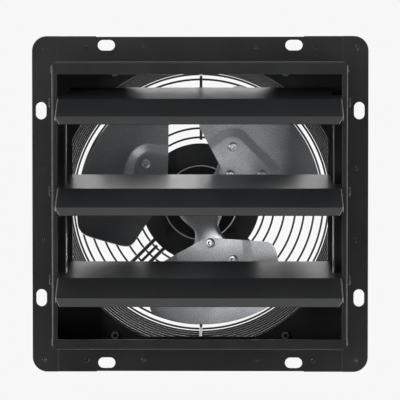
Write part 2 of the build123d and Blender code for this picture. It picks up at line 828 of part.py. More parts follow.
def rotor_core():
    """The squirrel-cage rotor on the shaft."""
    y0 = front_bearing_y + bearing_length + thrust_washer + 2 * thrust_play
    y1 = rear_bearing_y - thrust_washer - 2 * thrust_play
    ring_y0 = stator_y - rotor_end_ring_thickness
    ring_y1 = stator_rear_y + rotor_end_ring_thickness
    piece = along_y(rotor_r, stator_y, stator_rear_y)
    piece += along_y(rotor_r - rotor_end_ring, ring_y0, ring_y1)
    piece += along_y(rotor_hub_r, y0, y1)
    return piece - along_y(shaft_r + press_gap, y0 - overrun, y1 + overrun)


def washer(y):
    """A thrust washer beside a bearing."""
    ring_piece = along_y(thrust_washer_r, y, y + thrust_washer)
    return ring_piece - along_y(shaft_r + running_gap, y - overrun, y + thrust_washer + overrun)


def motor_shaft():
    """The shaft, from the fan hub to the rear bearing."""
    y_end = motor_rear_y - motor_wall - shaft_end_gap
    piece = along_y(shaft_r, shaft_front_y, y_end)
    return chamfer(piece.edges().filter_by(GeomType.CIRCLE), shaft_round)


def gland_body():
    """The cable gland at the back of the motor."""
    seat = motor_rear_y
    collar = seat + gland_flange
    end = collar + gland_dome
    piece = hex_along_y(gland_hex_half_flats, seat, collar, 0, -gland_drop)
    dome = along_y(gland_dome_r, collar, end, 0, -gland_drop)
    dome = fillet(dome.faces().sort_by(Axis.Y)[-1].edges(), gland_dome_r - gland_bore_r - gland_bore_r / 2)
    piece += dome + along_y(gland_shank_r, seat - motor_wall - gland_nut, seat, 0, -gland_drop)
    return piece - along_y(gland_bore_r, seat - overrun * 2, end + overrun, 0, -gland_drop)


def gland_locknut():
    """The nut of the gland, inside the casing."""
    y1 = motor_rear_y - motor_wall
    nut = hex_along_y(gland_hex_half_flats, y1 - gland_nut, y1, 0, -gland_drop)
    y0 = y1 - gland_nut - overrun
    return nut - along_y(gland_shank_r + press_gap, y0, y1 + overrun, 0, -gland_drop)


# Fan wheel. A blade is drawn for an arm along +X and then turned to its own angle.

def arm_outline(shares):
    """An outline from shares of the fan's radius: along the arm and clockwise across it."""
    return polygon([(u * fan_r, -v * fan_r) for u, v in shares])


def blade_outline():
    """The blade's outline, with its tip on the fan's circle."""
    lead = [(u * fan_r, -v * fan_r) for u, v in blade_outline_shares]
    trail = [(u * fan_r, -v * fan_r) for u, v in blade_trailing_shares]
    x, y = trail[0]
    back = Polyline(*trail, lead[0])
    front = Polyline(*lead)
    return make_face([front, ThreePointArc(lead[-1], (fan_r, 0), (x, y)), back])


def pitched(piece):
    """A curved sheet piece, drawn square to the axis, set at the blade's pitch and depth."""
    return Pos(0, fan_y, 0) * Rot(blade_pitch, 0, 0) * piece


def curved_sheet(outline, y_front, y_rear):
    """The part inside an outline of a sheet curved about an axis in front of the fan."""
    tube = along_x(blade_camber_r + y_rear, 0, fan_r + overrun, -blade_camber_r, 0)
    tube -= along_x(blade_camber_r + y_front, -overrun, fan_r + 2 * overrun, -blade_camber_r, 0)
    column = plate(outline, fan_y - fan_r / 2, fan_y + fan_r / 2)
    return pitched(tube) & column


def on_sheet(piece, v_share):
    """A piece drawn at the sheet's middle, moved along its curve to a place across the arm."""
    angle = degrees(asin(v_share * fan_r / cos(radians(blade_pitch)) / blade_camber_r))
    return pitched(Pos(0, -blade_camber_r, 0) * Rot(-angle, 0, 0) * Pos(0, blade_camber_r, 0) * piece)


def blade_rivet(u_share, v_share):
    """A rivet that holds the blade to the spider arm behind it."""
    x = u_share * fan_r
    face = -blade_sheet - running_gap
    head = along_y(blade_rivet_head_r, face - blade_rivet_head, face, x)
    head = fillet(head.faces().sort_by(Axis.Y)[0].edges(), blade_rivet_round)
    piece = head + along_y(blade_rivet_r, face, spider_sheet + running_gap, x)
    tail_y = spider_sheet + running_gap
    piece += along_y(blade_rivet_tail_r, tail_y, tail_y + blade_rivet_tail, x)
    return on_sheet(piece, v_share)


def blade_rivet_hole(u_share, v_share):
    """The hole that a blade rivet passes through."""
    return on_sheet(along_y(blade_rivet_r + press_gap, -overrun, overrun, u_share * fan_r), v_share)


def blade(angle):
    """One fan blade with its pressed bead round the rivets."""
    piece = curved_sheet(blade_outline(), -blade_sheet, 0)
    bead = arm_outline(bead_outer_shares + bead_inner_shares)
    piece += curved_sheet(bead & blade_outline(), -blade_sheet - blade_bead, -blade_sheet)
    piece -= [blade_rivet_hole(u, v) for u, v in blade_rivet_shares]
    return about_axis(piece, angle)


def fan_spider():
    """The three-armed steel spider behind the blades."""
    arm = curved_sheet(arm_outline(spider_arm_shares), 0, spider_sheet)
    arm -= [blade_rivet_hole(u, v) for u, v in blade_rivet_shares]
    piece = along_y(spider_disc_r, fan_y, fan_y + spider_disc_sheet)
    for angle in blade_angles:
        piece += about_axis(arm, angle)
    piece -= along_y(hub_r + press_gap, fan_y - fan_r / 2, fan_y + fan_r / 2)
    for angle in blade_angles:
        x, z = hub_rivet_place(angle)
        piece -= along_y(hub_rivet_r + press_gap, fan_y - overrun, fan_y + overrun, x, z)
    return piece


def hub_rivet_place(angle):
    """A hub rivet stands between two arms."""
    return on_circle(hub_rivet_circle_r, angle + 180 / blade_count)


def fan_hub():
    """The hub: a bored boss with a flange behind the spider."""
    flange_y = fan_y + spider_disc_sheet
    rear = flange_y + hub_flange
    piece = along_y(hub_r, hub_front_y, hub_rear_y) + along_y(hub_flange_r, flange_y, rear)
    piece = chamfer(piece.edges().filter_by(GeomType.CIRCLE).group_by(Axis.Y)[0], hub_round)
    piece -= along_y(shaft_r + press_gap, hub_front_y - overrun, hub_rear_y + overrun)
    piece -= Pos(0, set_screw_y, hub_r / 2) * Cylinder(set_screw_r + press_gap, hub_r + overrun)
    for angle in blade_angles:
        x, z = hub_rivet_place(angle)
        piece -= along_y(hub_rivet_r + press_gap, fan_y, rear + overrun, x, z)
    return piece


def set_screw():
    """The socket screw that grips the shaft."""
    bottom = shaft_r + running_gap
    top = hub_r + set_screw_stand
    piece = Pos(0, set_screw_y, (bottom + top) / 2) * Cylinder(set_screw_r, top - bottom)
    key = RegularPolygon(set_screw_key / cos(radians(30)), 6)
    socket = extrude(key, amount=set_screw_key_depth + overrun)
    return piece - Pos(0, set_screw_y, top - set_screw_key_depth) * socket


def hub_rivet(angle):
    """A rivet through the spider's disc and the hub's flange."""
    x, z = hub_rivet_place(angle)
    rear = fan_y + spider_disc_sheet + hub_flange
    piece = along_y(hub_rivet_r, fan_y, rear, x, z)
    piece += along_y(hub_rivet_head_r, fan_y - hub_rivet_head, fan_y, x, z)
    return piece + along_y(hub_rivet_head_r, rear, rear + hub_rivet_head, x, z)


# The whole fan, one entry for each sub-part

def both_sides(right_piece):
    """A right-hand piece and its mirror image."""
    return [right_piece, mirrored(right_piece)]


def all_parts():
    """Every sub-part by name."""
    rivets = corner_rivet_places()
    side = frame_side()
    bar = link_bar()
    parts = {
        "frame_side_right": side,
        "frame_side_left": mirrored(side),
        "frame_top": frame_end(1),
        "frame_bottom": frame_end(-1),
        "fan_panel": fan_panel(),
        "flange_rivets": [flange_rivet(x, z) for x, z in flange_rivet_places()],
        "box_corner_rivets": [corner_rivet(sx, y, z) for sx in (-1, 1) for y, z in rivets],
        "pivot_bushes_right": [pivot_bush(h) for h in pivot_heights],
        "pivot_bushes_left": [mirrored(pivot_bush(h)) for h in pivot_heights],
        "link_bar_right": bar,
        "link_bar_left": mirrored(bar),
    }
    for n, height in enumerate(pivot_heights, 1):
        parts[f"louver_{n}"] = louver(height)
        parts[f"louver_{n}_pivot_pins"] = both_sides(pivot_pin(height))
        parts[f"louver_{n}_link_pins"] = both_sides(link_pin(height))
    rib_angles = [n * 360 / guard_rib_count for n in range(guard_rib_count)]
    leg = support_leg()
    rib = guard_rib()
    clip = guard_clip()
    front_washer_y = front_bearing_y + bearing_length + thrust_play
    rear_washer_y = rear_bearing_y - thrust_play - thrust_washer
    rib_run = guard_shoulder_r - guard_rib_inner_r
    back_rings = [guard_rib_inner_r + share * rib_run for share in back_ring_shares]
    parts.update({
        "guard_front_ring": ring(guard_front_r, guard_front_wire_r, front_ring_y),
        "guard_side_rings": guard_side_rings(),
        "guard_back_rings": [ring(r, guard_wire_r, back_ring_y) for r in back_rings],
        "guard_ribs": [about_axis(rib, a) for a in rib_angles],
        "guard_clips": [about_axis(clip, a) for a in clip_angles()],
        "guard_clip_screws": [clip_screw(x, z) for x, z in clip_screw_places()],
        "guard_clip_nuts": [clip_nut(x, z) for x, z in clip_screw_places()],
        "motor_support_legs": [
            about_axis(Pos(0, 0, s * leg_half_spacing) * leg, a) for a in leg_angles() for s in (-1, 1)
        ],
        "motor_mounting_plate": mounting_plate(),
        "motor_front_shell": motor_front_shell(),
        "motor_rear_shell": motor_rear_shell(),
        "motor_through_bolts": [through_bolt(x, z) for x, z in bolt_places()],
        "motor_bolt_nuts": [through_bolt_nut(x, z) for x, z in bolt_places()],
        "stator_core": stator_core(),
        "stator_windings": stator_windings(),
        "front_bearing": bearing(front_bearing_y),
        "rear_bearing": bearing(rear_bearing_y),
        "cable_gland": gland_body(),
        "cable_gland_nut": gland_locknut(),
        "motor_shaft": motor_shaft(),
        "rotor_core": rotor_core(),
        "thrust_washers": [washer(front_washer_y), washer(rear_washer_y)],
        "fan_hub": fan_hub(),
        "hub_set_screw": set_screw(),
        "hub_rivets": [hub_rivet(a) for a in blade_angles],
        "fan_spider": fan_spider(),
        "blade_rivets": [
            about_axis(blade_rivet(u, v), a) for a in blade_angles for u, v in blade_rivet_shares
        ],
    })
    for n, angle in enumerate(blade_angles, 1):
        parts[f"fan_blade_{n}"] = blade(angle)
    return parts


os.makedirs("parts", exist_ok=True)
for name, shape in all_parts().items():
    piece = Compound(children=shape) if isinstance(shape, list) else shape
    export_step(piece, f"parts/{name}.step")
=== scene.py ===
import math
import bpy
import numpy as np
from mathutils import Matrix, Vector


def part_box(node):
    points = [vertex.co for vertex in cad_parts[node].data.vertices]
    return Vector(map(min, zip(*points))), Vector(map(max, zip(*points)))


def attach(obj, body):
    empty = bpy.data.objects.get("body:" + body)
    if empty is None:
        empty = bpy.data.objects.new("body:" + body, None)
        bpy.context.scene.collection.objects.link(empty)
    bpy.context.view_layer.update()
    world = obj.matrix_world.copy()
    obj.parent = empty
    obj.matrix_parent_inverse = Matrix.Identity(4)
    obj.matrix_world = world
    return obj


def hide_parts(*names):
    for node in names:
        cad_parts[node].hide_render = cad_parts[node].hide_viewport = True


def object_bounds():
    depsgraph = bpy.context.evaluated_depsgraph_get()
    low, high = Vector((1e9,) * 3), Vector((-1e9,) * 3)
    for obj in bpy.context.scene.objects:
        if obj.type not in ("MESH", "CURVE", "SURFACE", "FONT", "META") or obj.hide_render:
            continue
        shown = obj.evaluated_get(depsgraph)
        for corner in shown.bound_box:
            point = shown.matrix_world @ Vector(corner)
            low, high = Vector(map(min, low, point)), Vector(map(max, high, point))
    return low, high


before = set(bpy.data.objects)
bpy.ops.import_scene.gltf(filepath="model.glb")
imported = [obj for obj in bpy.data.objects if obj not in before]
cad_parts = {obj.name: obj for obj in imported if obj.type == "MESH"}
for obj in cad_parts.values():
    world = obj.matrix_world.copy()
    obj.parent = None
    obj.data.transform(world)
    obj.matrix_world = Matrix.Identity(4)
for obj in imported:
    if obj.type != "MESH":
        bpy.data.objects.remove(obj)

mm = 0.001
bpy.ops.object.select_all(action="DESELECT")
cad_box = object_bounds()


# The studio: a pale floor well below the fan, a bright cove behind it and a dim room in front with
# soft boxes, as for a catalogue picture. The camera looks almost squarely at the louvers from a
# long distance. Nothing here is part of the fan.
photo_px = 400
focal_px = 1600
film_width = 36
camera_place = (16 * mm, -1619 * mm, 45 * mm)
camera_target = (-0.1 * mm, 0, 4.4 * mm)
floor_drop = 600 * mm
floor_radius = 0.9
floor_roughness = 0.8
backdrop_seen = 0.96
cove_light = 3.9
room_light = 0.03
cove_start, cove_full = -0.4, 0.8
ceiling_shade = 0.75


def linear(hex_colour):
    """An sRGB hex colour as linear red, green, blue and alpha."""
    parts = [int(hex_colour[i:i + 2], 16) / 255 for i in (1, 3, 5)]
    return tuple(c / 12.92 if c <= 0.04045 else ((c + 0.055) / 1.055) ** 2.4 for c in parts) + (1.0,)


def add_node(tree, kind, inputs=None, **settings):
    """Adds a node. Its settings are attributes; an input is a value or another node's output."""
    node = tree.nodes.new(kind)
    for name, value in settings.items():
        setattr(node, name, value)
    for name, value in (inputs or {}).items():
        if isinstance(value, bpy.types.NodeSocket):
            tree.links.new(value, node.inputs[name])
        else:
            node.inputs[name].default_value = value
    return node


def set_up_camera():
    """A long lens that frames the fan as the photograph does."""
    data = bpy.data.cameras.new("camera")
    data.sensor_width = film_width
    data.lens = film_width * focal_px / photo_px
    camera = bpy.data.objects.new("camera", data)
    bpy.context.scene.collection.objects.link(camera)
    camera.location = camera_place
    aim = Vector(camera_target) - Vector(camera_place)
    camera.rotation_euler = aim.to_track_quat("-Z", "Y").to_euler()
    bpy.context.scene.camera = camera


def set_up_room():
    """A dim room that turns into a bright cove behind the fan, shaded towards the ceiling."""
    world = bpy.data.worlds.new("studio")
    bpy.context.scene.world = world
    world.use_nodes = True
    tree = world.node_tree
    tree.nodes.clear()
    place = add_node(tree, "ShaderNodeTexCoord").outputs["Generated"]
    parts = add_node(tree, "ShaderNodeSeparateXYZ", {"Vector": place})
    above = add_node(tree, "ShaderNodeMath", {0: parts.outputs["Z"], 1: 0.0}, operation="MAXIMUM").outputs[0]
    cove = add_node(tree, "ShaderNodeMath", {
        0: above, 1: -ceiling_shade, 2: parts.outputs["Y"]}, operation="MULTIPLY_ADD").outputs[0]
    behind = add_node(tree, "ShaderNodeMapRange", {
        "Value": cove, "From Min": cove_start, "From Max": cove_full,
        "To Min": room_light, "To Max": cove_light,
    }, interpolation_type="SMOOTHSTEP").outputs["Result"]
    seen = add_node(tree, "ShaderNodeLightPath").outputs["Is Camera Ray"]
    level = add_node(tree, "ShaderNodeMix", {0: seen, 2: behind, 3: backdrop_seen}).outputs[0]
    light = add_node(tree, "ShaderNodeBackground", {"Color": linear("#FCFCFC"), "Strength": level})
    add_node(tree, "ShaderNodeOutputWorld", {"Surface": light.outputs[0]})


def softbox(name, place, width, height, power):
    """A soft area light aimed at the middle of the fan."""
    data = bpy.data.lights.new(name, "AREA")
    data.shape = "RECTANGLE"
    data.size, data.size_y, data.energy = width, height, power
    lamp = bpy.data.objects.new(name, data)
    bpy.context.scene.collection.objects.link(lamp)
    lamp.location = place
    lamp.rotation_euler = (-Vector(place)).to_track_quat("-Z", "Y").to_euler()
    lamp.visible_camera = False


def lay_floor():
    """A round pale floor, matt paint."""
    height = cad_box[0][2] - floor_drop
    bpy.ops.mesh.primitive_circle_add(
        vertices=96, radius=floor_radius, fill_type="NGON", location=(0, 0, height))
    floor = bpy.context.object
    floor.name = "floor"
    bpy.ops.object.transform_apply()
    paint = bpy.data.materials.new("pale_painted_floor")
    paint.use_nodes = True
    shader = paint.node_tree.nodes["Principled BSDF"]
    shader.inputs["Base Color"].default_value = linear("#E4E4E2")
    shader.inputs["Roughness"].default_value = floor_roughness
    floor.data.materials.append(paint)


set_up_camera()
set_up_room()
lay_floor()
softbox("key_softbox", place=(-1.7, -1.7, 0.0), width=1.0, height=1.0, power=26)
softbox("fill_softbox", place=(1.25, -1.35, -0.7), width=1.2, height=1.2, power=13)
softbox("upper_softbox", place=(0, -1.5, 0.95), width=1.5, height=0.6, power=7)
softbox("overhead_softbox", place=(0, -0.55, 1.7), width=1.8, height=0.6, power=6)
bpy.context.scene.view_settings.view_transform = "Standard"


# The frame: two folded side sheets and two folded end sheets, each a strip of the flange, a wall
# of the box and a front lip, on a flat panel with the round opening. Sheet steel, 1 mm, in satin
# black powder coat baked on before assembly. The guard's clips have the same coat.
peel_size = 1.6 * mm
peel_depth = 0.012 * mm
mottle_size = 45 * mm
mottle_share = 0.07
coat_gloss, coat_dulling = 0.05, 0.07
edge_round = 0.45 * mm
# An edge is painted brighter, partly as rubbed wear and partly as a painted highlight, where its rounded
# normal leaves the flat one, between these two cosines.
edge_starts, edge_full = 0.995, 0.86
# A noise pattern lies mostly between these two values.
noise_low, noise_high = 0.3, 0.7


def new_finish(name, colour, roughness, metallic=0.0):
    """A material whose plain values are set on the shader itself."""
    material = bpy.data.materials.new(name)
    material.use_nodes = True
    shader = material.node_tree.nodes["Principled BSDF"]
    shader.inputs["Base Color"].default_value = linear(colour)
    shader.inputs["Roughness"].default_value = roughness
    shader.inputs["Metallic"].default_value = metallic
    return material, material.node_tree, shader


def lay_on(tree, shader, colour, dull, bump):
    """Gives the shader the colour, the roughness and the fine relief of a surface."""
    tree.links.new(colour, shader.inputs["Base Color"])
    tree.links.new(dull, shader.inputs["Roughness"])
    tree.links.new(bump, shader.inputs["Normal"])


def black_coat(name, colour, worn_and_sheen_colour, roughness, peel=peel_size, depth=peel_depth, bare_edges=False):
    """Powder coat or enamel: fine orange peel, faint mottling, and edges painted a little brighter, partly
    as rubbed wear and partly as a painted highlight, or turned to bare metal."""
    material, tree, shader = new_finish(name, colour, roughness)
    place = add_node(tree, "ShaderNodeTexCoord").outputs["Object"]
    mottle = add_node(tree, "ShaderNodeTexNoise", {
        "Vector": place, "Scale": 1 / mottle_size, "Detail": 4.0}).outputs["Fac"]
    grain = add_node(tree, "ShaderNodeTexNoise", {
        "Vector": place, "Scale": 1 / peel, "Detail": 2.0}).outputs["Fac"]
    soft = add_node(tree, "ShaderNodeBevel", {"Radius": edge_round}, samples=6).outputs["Normal"]
    flat = add_node(tree, "ShaderNodeNewGeometry").outputs["Normal"]
    turn = add_node(tree, "ShaderNodeVectorMath", {0: soft, 1: flat}, operation="DOT_PRODUCT")
    edge = add_node(tree, "ShaderNodeMapRange", {
        "Value": turn.outputs["Value"], "From Min": edge_starts, "From Max": edge_full}).outputs["Result"]
    # The edges are painted towards the second colour: partly rubbed wear, partly a painted highlight.
    rubbed_and_sheen = add_node(tree, "ShaderNodeMath", {0: edge, 1: mottle}, operation="MULTIPLY").outputs[0]
    toned = add_node(tree, "ShaderNodeMapRange", {
        "Value": mottle, "From Min": noise_low, "From Max": noise_high,
        "To Min": 0.0, "To Max": mottle_share}).outputs["Result"]
    body = add_node(tree, "ShaderNodeMix", {
        "Factor": toned, "A": linear(colour), "B": linear(worn_and_sheen_colour)}, data_type="RGBA")
    coat = add_node(tree, "ShaderNodeMix", {
        "Factor": rubbed_and_sheen, "A": body.outputs["Result"], "B": linear(worn_and_sheen_colour)}, data_type="RGBA")
    dull = add_node(tree, "ShaderNodeMapRange", {
        "Value": grain, "To Min": roughness - coat_gloss,
        "To Max": roughness + coat_dulling}).outputs["Result"]
    bump = add_node(tree, "ShaderNodeBump", {
        "Height": grain, "Distance": depth, "Normal": soft}).outputs["Normal"]
    lay_on(tree, shader, coat.outputs["Result"], dull, bump)
    if bare_edges:
        tree.links.new(edge, shader.inputs["Metallic"])
    return material


def finish(material, *nodes):
    """Puts a material on CAD nodes."""
    for node in nodes:
        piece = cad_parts[node]
        piece.data.materials.clear()
        piece.data.materials.append(material)


# Satin black powder coat, baked on: soft grey highlights, an orange peel of 1.6 mm and edges painted
# brighter, partly as rubbed wear and partly as a painted highlight.
satin_black_powder_coat = black_coat("satin_black_powder_coat", "#141516", "#6C6D6F", 0.42)
finish(satin_black_powder_coat, "frame_side_left", "frame_side_right", "frame_top", "frame_bottom",
       "fan_panel", "guard_clips")


# The rivets of the frame: sixteen set flush in the flange and eight domed ones through the corner
# tabs of the box. Steel, upset by a press and then coated with the frame.
# Coated domed heads: each catches a small soft highlight.
powder_coated_rivet = black_coat("powder_coated_rivet", "#1B1C1D", "#5E5F61", 0.34)
finish(powder_coated_rivet, "box_corner_rivets")
# Flush heads, smoother than the sheet and painted darker: the dark colour is a painted shade that makes
# each head a dark dot, and their bright bare rims are partly a painted highlight.
flush_rivet_with_painted_shade = black_coat(
    "flush_rivet_with_painted_shade", "#0B0B0C", "#D4D6D8", 0.16, bare_edges=True)
finish(flush_rivet_with_painted_shade, "flange_rivets")


# The pivot bushes: turned-in collars of black nylon, pushed through the box walls from outside.
# Moulded, and held by their own rims.
nylon_grain = 0.7 * mm
nylon_depth = 0.02 * mm
# Glass-filled nylon, moulded: a faint sheen over a fine rough texture, drawn coarser than the real
# one to show.
moulded_nylon = black_coat("moulded_black_nylon", "#151515", "#2A2A2B", 0.5, nylon_grain, nylon_depth)
finish(moulded_nylon, "pivot_bushes_left", "pivot_bushes_right")


# The louvers: three folded aluminium blades with a steep front lip, mitred at its ends, and an
# end tab on each side. Sheared from coil-coated sheet and folded, so that the cut ends are bare.
# Each hangs on two pins.
roll_line = 0.8 * mm
roll_squeeze = 0.05
roll_depth = 0.003 * mm
roll_gloss, roll_dulling = 0.02, 0.03
sheared_rim = 1.05 * mm
sheared_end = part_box("louver_1")[1][0] - sheared_rim
# A face that looks further sideways than this belongs to an end tab, and isn't a cut edge.
tab_faces = 0.5


def rolled_black(name, colour, cloud_colour, bare_colour, roughness):
    """Smooth coil coating: long faint rolling lines along X over a fine grain, bare sheared ends.

    Real rolling lines are a few hundredths of a millimetre apart, and these are coarser to show."""
    material, tree, shader = new_finish(name, colour, roughness)
    place = add_node(tree, "ShaderNodeTexCoord").outputs["Object"]
    stretched = add_node(tree, "ShaderNodeMapping", {"Vector": place, "Scale": (roll_squeeze, 1, 1)})
    lines = add_node(tree, "ShaderNodeTexNoise", {
        "Vector": stretched.outputs["Vector"], "Scale": 1 / roll_line, "Detail": 2.0}).outputs["Fac"]
    cloud = add_node(tree, "ShaderNodeTexNoise", {
        "Vector": place, "Scale": 1 / mottle_size, "Detail": 5.0}).outputs["Fac"]
    grain = add_node(tree, "ShaderNodeTexNoise", {
        "Vector": place, "Scale": 1 / peel_size, "Detail": 3.0}).outputs["Fac"]
    soft = add_node(tree, "ShaderNodeBevel", {"Radius": edge_round}, samples=6).outputs["Normal"]
    both = add_node(tree, "ShaderNodeMath", {0: lines, 1: grain}, operation="ADD").outputs[0]
    dull = add_node(tree, "ShaderNodeMapRange", {
        "Value": cloud, "From Min": noise_low, "From Max": noise_high,
        "To Min": roughness - roll_gloss, "To Max": roughness + roll_dulling}).outputs["Result"]
    tone = add_node(tree, "ShaderNodeMix", {
        "Factor": cloud, "A": linear(colour), "B": linear(cloud_colour)}, data_type="RGBA")
    bump = add_node(tree, "ShaderNodeBump", {
        "Height": both, "Distance": roll_depth, "Normal": soft}).outputs["Normal"]
    across = add_node(tree, "ShaderNodeSeparateXYZ", {"Vector": place}).outputs["X"]
    facing = add_node(tree, "ShaderNodeNewGeometry").outputs["Normal"]
    sideways = add_node(tree, "ShaderNodeSeparateXYZ", {"Vector": facing}).outputs["X"]
    far_out = add_node(tree, "ShaderNodeMath", {0: across}, operation="ABSOLUTE").outputs[0]
    at_end = add_node(tree, "ShaderNodeMath", {
        0: far_out, 1: sheared_end}, operation="GREATER_THAN").outputs[0]
    turned_out = add_node(tree, "ShaderNodeMath", {0: sideways}, operation="ABSOLUTE").outputs[0]
    cut_face = add_node(tree, "ShaderNodeMath", {
        0: turned_out, 1: tab_faces}, operation="LESS_THAN").outputs[0]
    bare = add_node(tree, "ShaderNodeMath", {0: at_end, 1: cut_face}, operation="MULTIPLY").outputs[0]
    shown = add_node(tree, "ShaderNodeMix", {
        "Factor": bare, "A": tone.outputs["Result"], "B": linear(bare_colour)}, data_type="RGBA")
    lay_on(tree, shader, shown.outputs["Result"], dull, bump)
    tree.links.new(bare, shader.inputs["Metallic"])
    return material


# Coil-coated aluminium: smoother than the frame's coat, so that the sheet mirrors the bright cove
# behind the fan at a flat angle, with a thin bright line at each cut end.
coil_coated_aluminium = rolled_black("coil_coated_aluminium", "#242527", "#2F3032", "#C9CBCC", 0.3)
finish(coil_coated_aluminium, "louver_1", "louver_2", "louver_3")


# The louvers' pins and the link bars: stub pins of zinc-plated steel riveted in the end tabs, and
# two flat aluminium bars, hung on the pins, that make the three louvers swing together.
stain_size = 9 * mm
drawn_line = 0.5 * mm
drawn_depth = 0.004 * mm
drawn_spread = 0.08
metal_edge = 0.2 * mm
lines_upright = (1, 1, 0.06)
no_lines = (1, 1, 1)


def mill_metal(name, colour, shade, roughness, line=drawn_line, squeeze=lines_upright):
    """Bare or plated metal: drawn lines along one direction, cloudy stains and soft edges.

    Real drawing lines are under 0.1 mm apart, and these are coarser to show."""
    material, tree, shader = new_finish(name, colour, roughness, 1.0)
    place = add_node(tree, "ShaderNodeTexCoord").outputs["Object"]
    stretched = add_node(tree, "ShaderNodeMapping", {"Vector": place, "Scale": squeeze})
    lines = add_node(tree, "ShaderNodeTexNoise", {
        "Vector": stretched.outputs["Vector"], "Scale": 1 / line, "Detail": 3.0}).outputs["Fac"]
    stain = add_node(tree, "ShaderNodeTexNoise", {
        "Vector": place, "Scale": 1 / stain_size, "Detail": 5.0}).outputs["Fac"]
    tone = add_node(tree, "ShaderNodeMix", {
        "Factor": stain, "A": linear(colour), "B": linear(shade)}, data_type="RGBA")
    dull = add_node(tree, "ShaderNodeMapRange", {
        "Value": lines, "From Min": noise_low, "From Max": noise_high,
        "To Min": roughness - drawn_spread, "To Max": roughness + drawn_spread}).outputs["Result"]
    soft = add_node(tree, "ShaderNodeBevel", {"Radius": metal_edge}, samples=4).outputs["Normal"]
    bump = add_node(tree, "ShaderNodeBump", {
        "Height": lines, "Distance": drawn_depth, "Normal": soft}).outputs["Normal"]
    lay_on(tree, shader, tone.outputs["Result"], dull, bump)
    return material


# Bright zinc plating: a cool pale grey with slight clouding.
zinc_plated_steel = mill_metal("zinc_plated_steel", "#CBCECF", "#A4A8AA", 0.4)
finish(zinc_plated_steel, *[f"louver_{n}_{kind}_pins" for n in (1, 2, 3) for kind in ("pivot", "link")])
# Drawn aluminium, toned a darker grey, with long lines up the bar.
drawn_aluminium = mill_metal("drawn_aluminium", "#77797B", "#5C5F61", 0.55)
finish(drawn_aluminium, "link_bar_left", "link_bar_right")


# The guard: rings and ribs of steel wire and the bent rods that carry the motor, welded where
# they cross, then dipped and baked in black. Held on the panel by four saddles, each with a
# screw and a nut.
dip_runs = 2.5 * mm
plating_grain = 0.6 * mm
# Dipped enamel on wire: glossier than the sheets' coat, with long soft runs.
dipped_black_wire = black_coat("dipped_black_wire", "#121314", "#3C3D3F", 0.32, dip_runs)
finish(dipped_black_wire, "guard_front_ring", "guard_side_rings", "guard_back_rings", "guard_ribs",
       "motor_support_legs")
# Black zinc plating, nearly as dark as the coat: its dark colour is partly a painted shade that keeps the
# screw heads in shadow. Its grain is drawn coarser than the real one to show.
black_zinc_with_painted_shade = black_coat("black_zinc_with_painted_shade", "#141415", "#2E2F30", 0.4, plating_grain)
finish(black_zinc_with_painted_shade, "guard_clip_screws")
finish(zinc_plated_steel, "guard_clip_nuts")


# The motor: two drawn steel halves in semi-gloss black enamel, clamped with the mounting plate by
# four long bolts. The register that centres the plate is turned bare after painting. The cable
# leaves through a moulded nylon gland.
register_r = 39.4 * mm
register_depth = 66.4 * mm
register_width = 1.3 * mm
enamel_peel = 3.0 * mm
# The enamel's second colour tones the mottle and paints its edges brighter, partly as wear and partly as a
# painted highlight.
enamel, enamel_wear_and_sheen, enamel_roughness = "#141516", "#3A3B3D", 0.3


def enamel_with_bare_register():
    """The front shell's enamel, with the turned edge of its register left as bright steel."""
    material = black_coat(
        "enamel_with_turned_register", enamel, enamel_wear_and_sheen, enamel_roughness, enamel_peel)
    tree = material.node_tree
    shader = tree.nodes["Principled BSDF"]
    place = add_node(tree, "ShaderNodeTexCoord").outputs["Object"]
    parts = add_node(tree, "ShaderNodeSeparateXYZ", {"Vector": place}).outputs
    spot = add_node(tree, "ShaderNodeCombineXYZ", {"X": parts["X"], "Z": parts["Z"]}).outputs["Vector"]
    from_axis = add_node(tree, "ShaderNodeVectorMath", {0: spot}, operation="LENGTH").outputs["Value"]
    past = add_node(tree, "ShaderNodeMath", {
        0: from_axis, 1: register_r - register_width}, operation="GREATER_THAN").outputs[0]
    front = add_node(tree, "ShaderNodeMath", {
        0: parts["Y"], 1: register_depth}, operation="LESS_THAN").outputs[0]
    bare = add_node(tree, "ShaderNodeMath", {0: past, 1: front}, operation="MULTIPLY").outputs[0]
    painted = shader.inputs["Base Color"].links[0].from_socket
    colour = add_node(tree, "ShaderNodeMix", {
        "Factor": bare, "A": painted, "B": linear("#E4E5E6")}, data_type="RGBA").outputs["Result"]
    tree.links.new(colour, shader.inputs["Base Color"])
    tree.links.new(bare, shader.inputs["Metallic"])
    return material


# Semi-gloss enamel, sprayed and baked: clearer highlights than powder coat and a wider peel.
semi_gloss_enamel = black_coat(
    "semi_gloss_enamel", enamel, enamel_wear_and_sheen, enamel_roughness, enamel_peel)
finish(semi_gloss_enamel, "motor_rear_shell")
finish(enamel_with_bare_register(), "motor_front_shell")
finish(satin_black_powder_coat, "motor_mounting_plate")
# Black oxide on steel: a thin dark skin with a small gloss, with corners painted paler, partly as wear and
# partly as a painted highlight.
black_oxide_steel = black_coat("black_oxide_steel", "#1A1B1C", "#3C3D3F", 0.34, plating_grain)
finish(black_oxide_steel, "motor_through_bolts", "hub_set_screw")
finish(zinc_plated_steel, "motor_bolt_nuts")
finish(moulded_nylon, "cable_gland", "cable_gland_nut")


# Inside the motor: a stack of varnished laminations, copper windings, sleeve bearings of sintered
# bronze, thrust washers and the rotor on its ground shaft. All of it is pressed in or slipped on.
ground_grain = 0.3 * mm
pore_size = 0.4 * mm
lamination = 0.5 * mm
wire_turn = 0.7 * mm
round_the_core, along_the_wire = (0.02, 1, 0.02), (1, 0.1, 1)
# Ground steel: bright and even. Its grain and the bronze's pores are drawn coarse to show.
ground_steel = mill_metal("ground_steel", "#B9BCBE", "#9DA0A3", 0.22, ground_grain, no_lines)
finish(ground_steel, "motor_shaft", "thrust_washers")
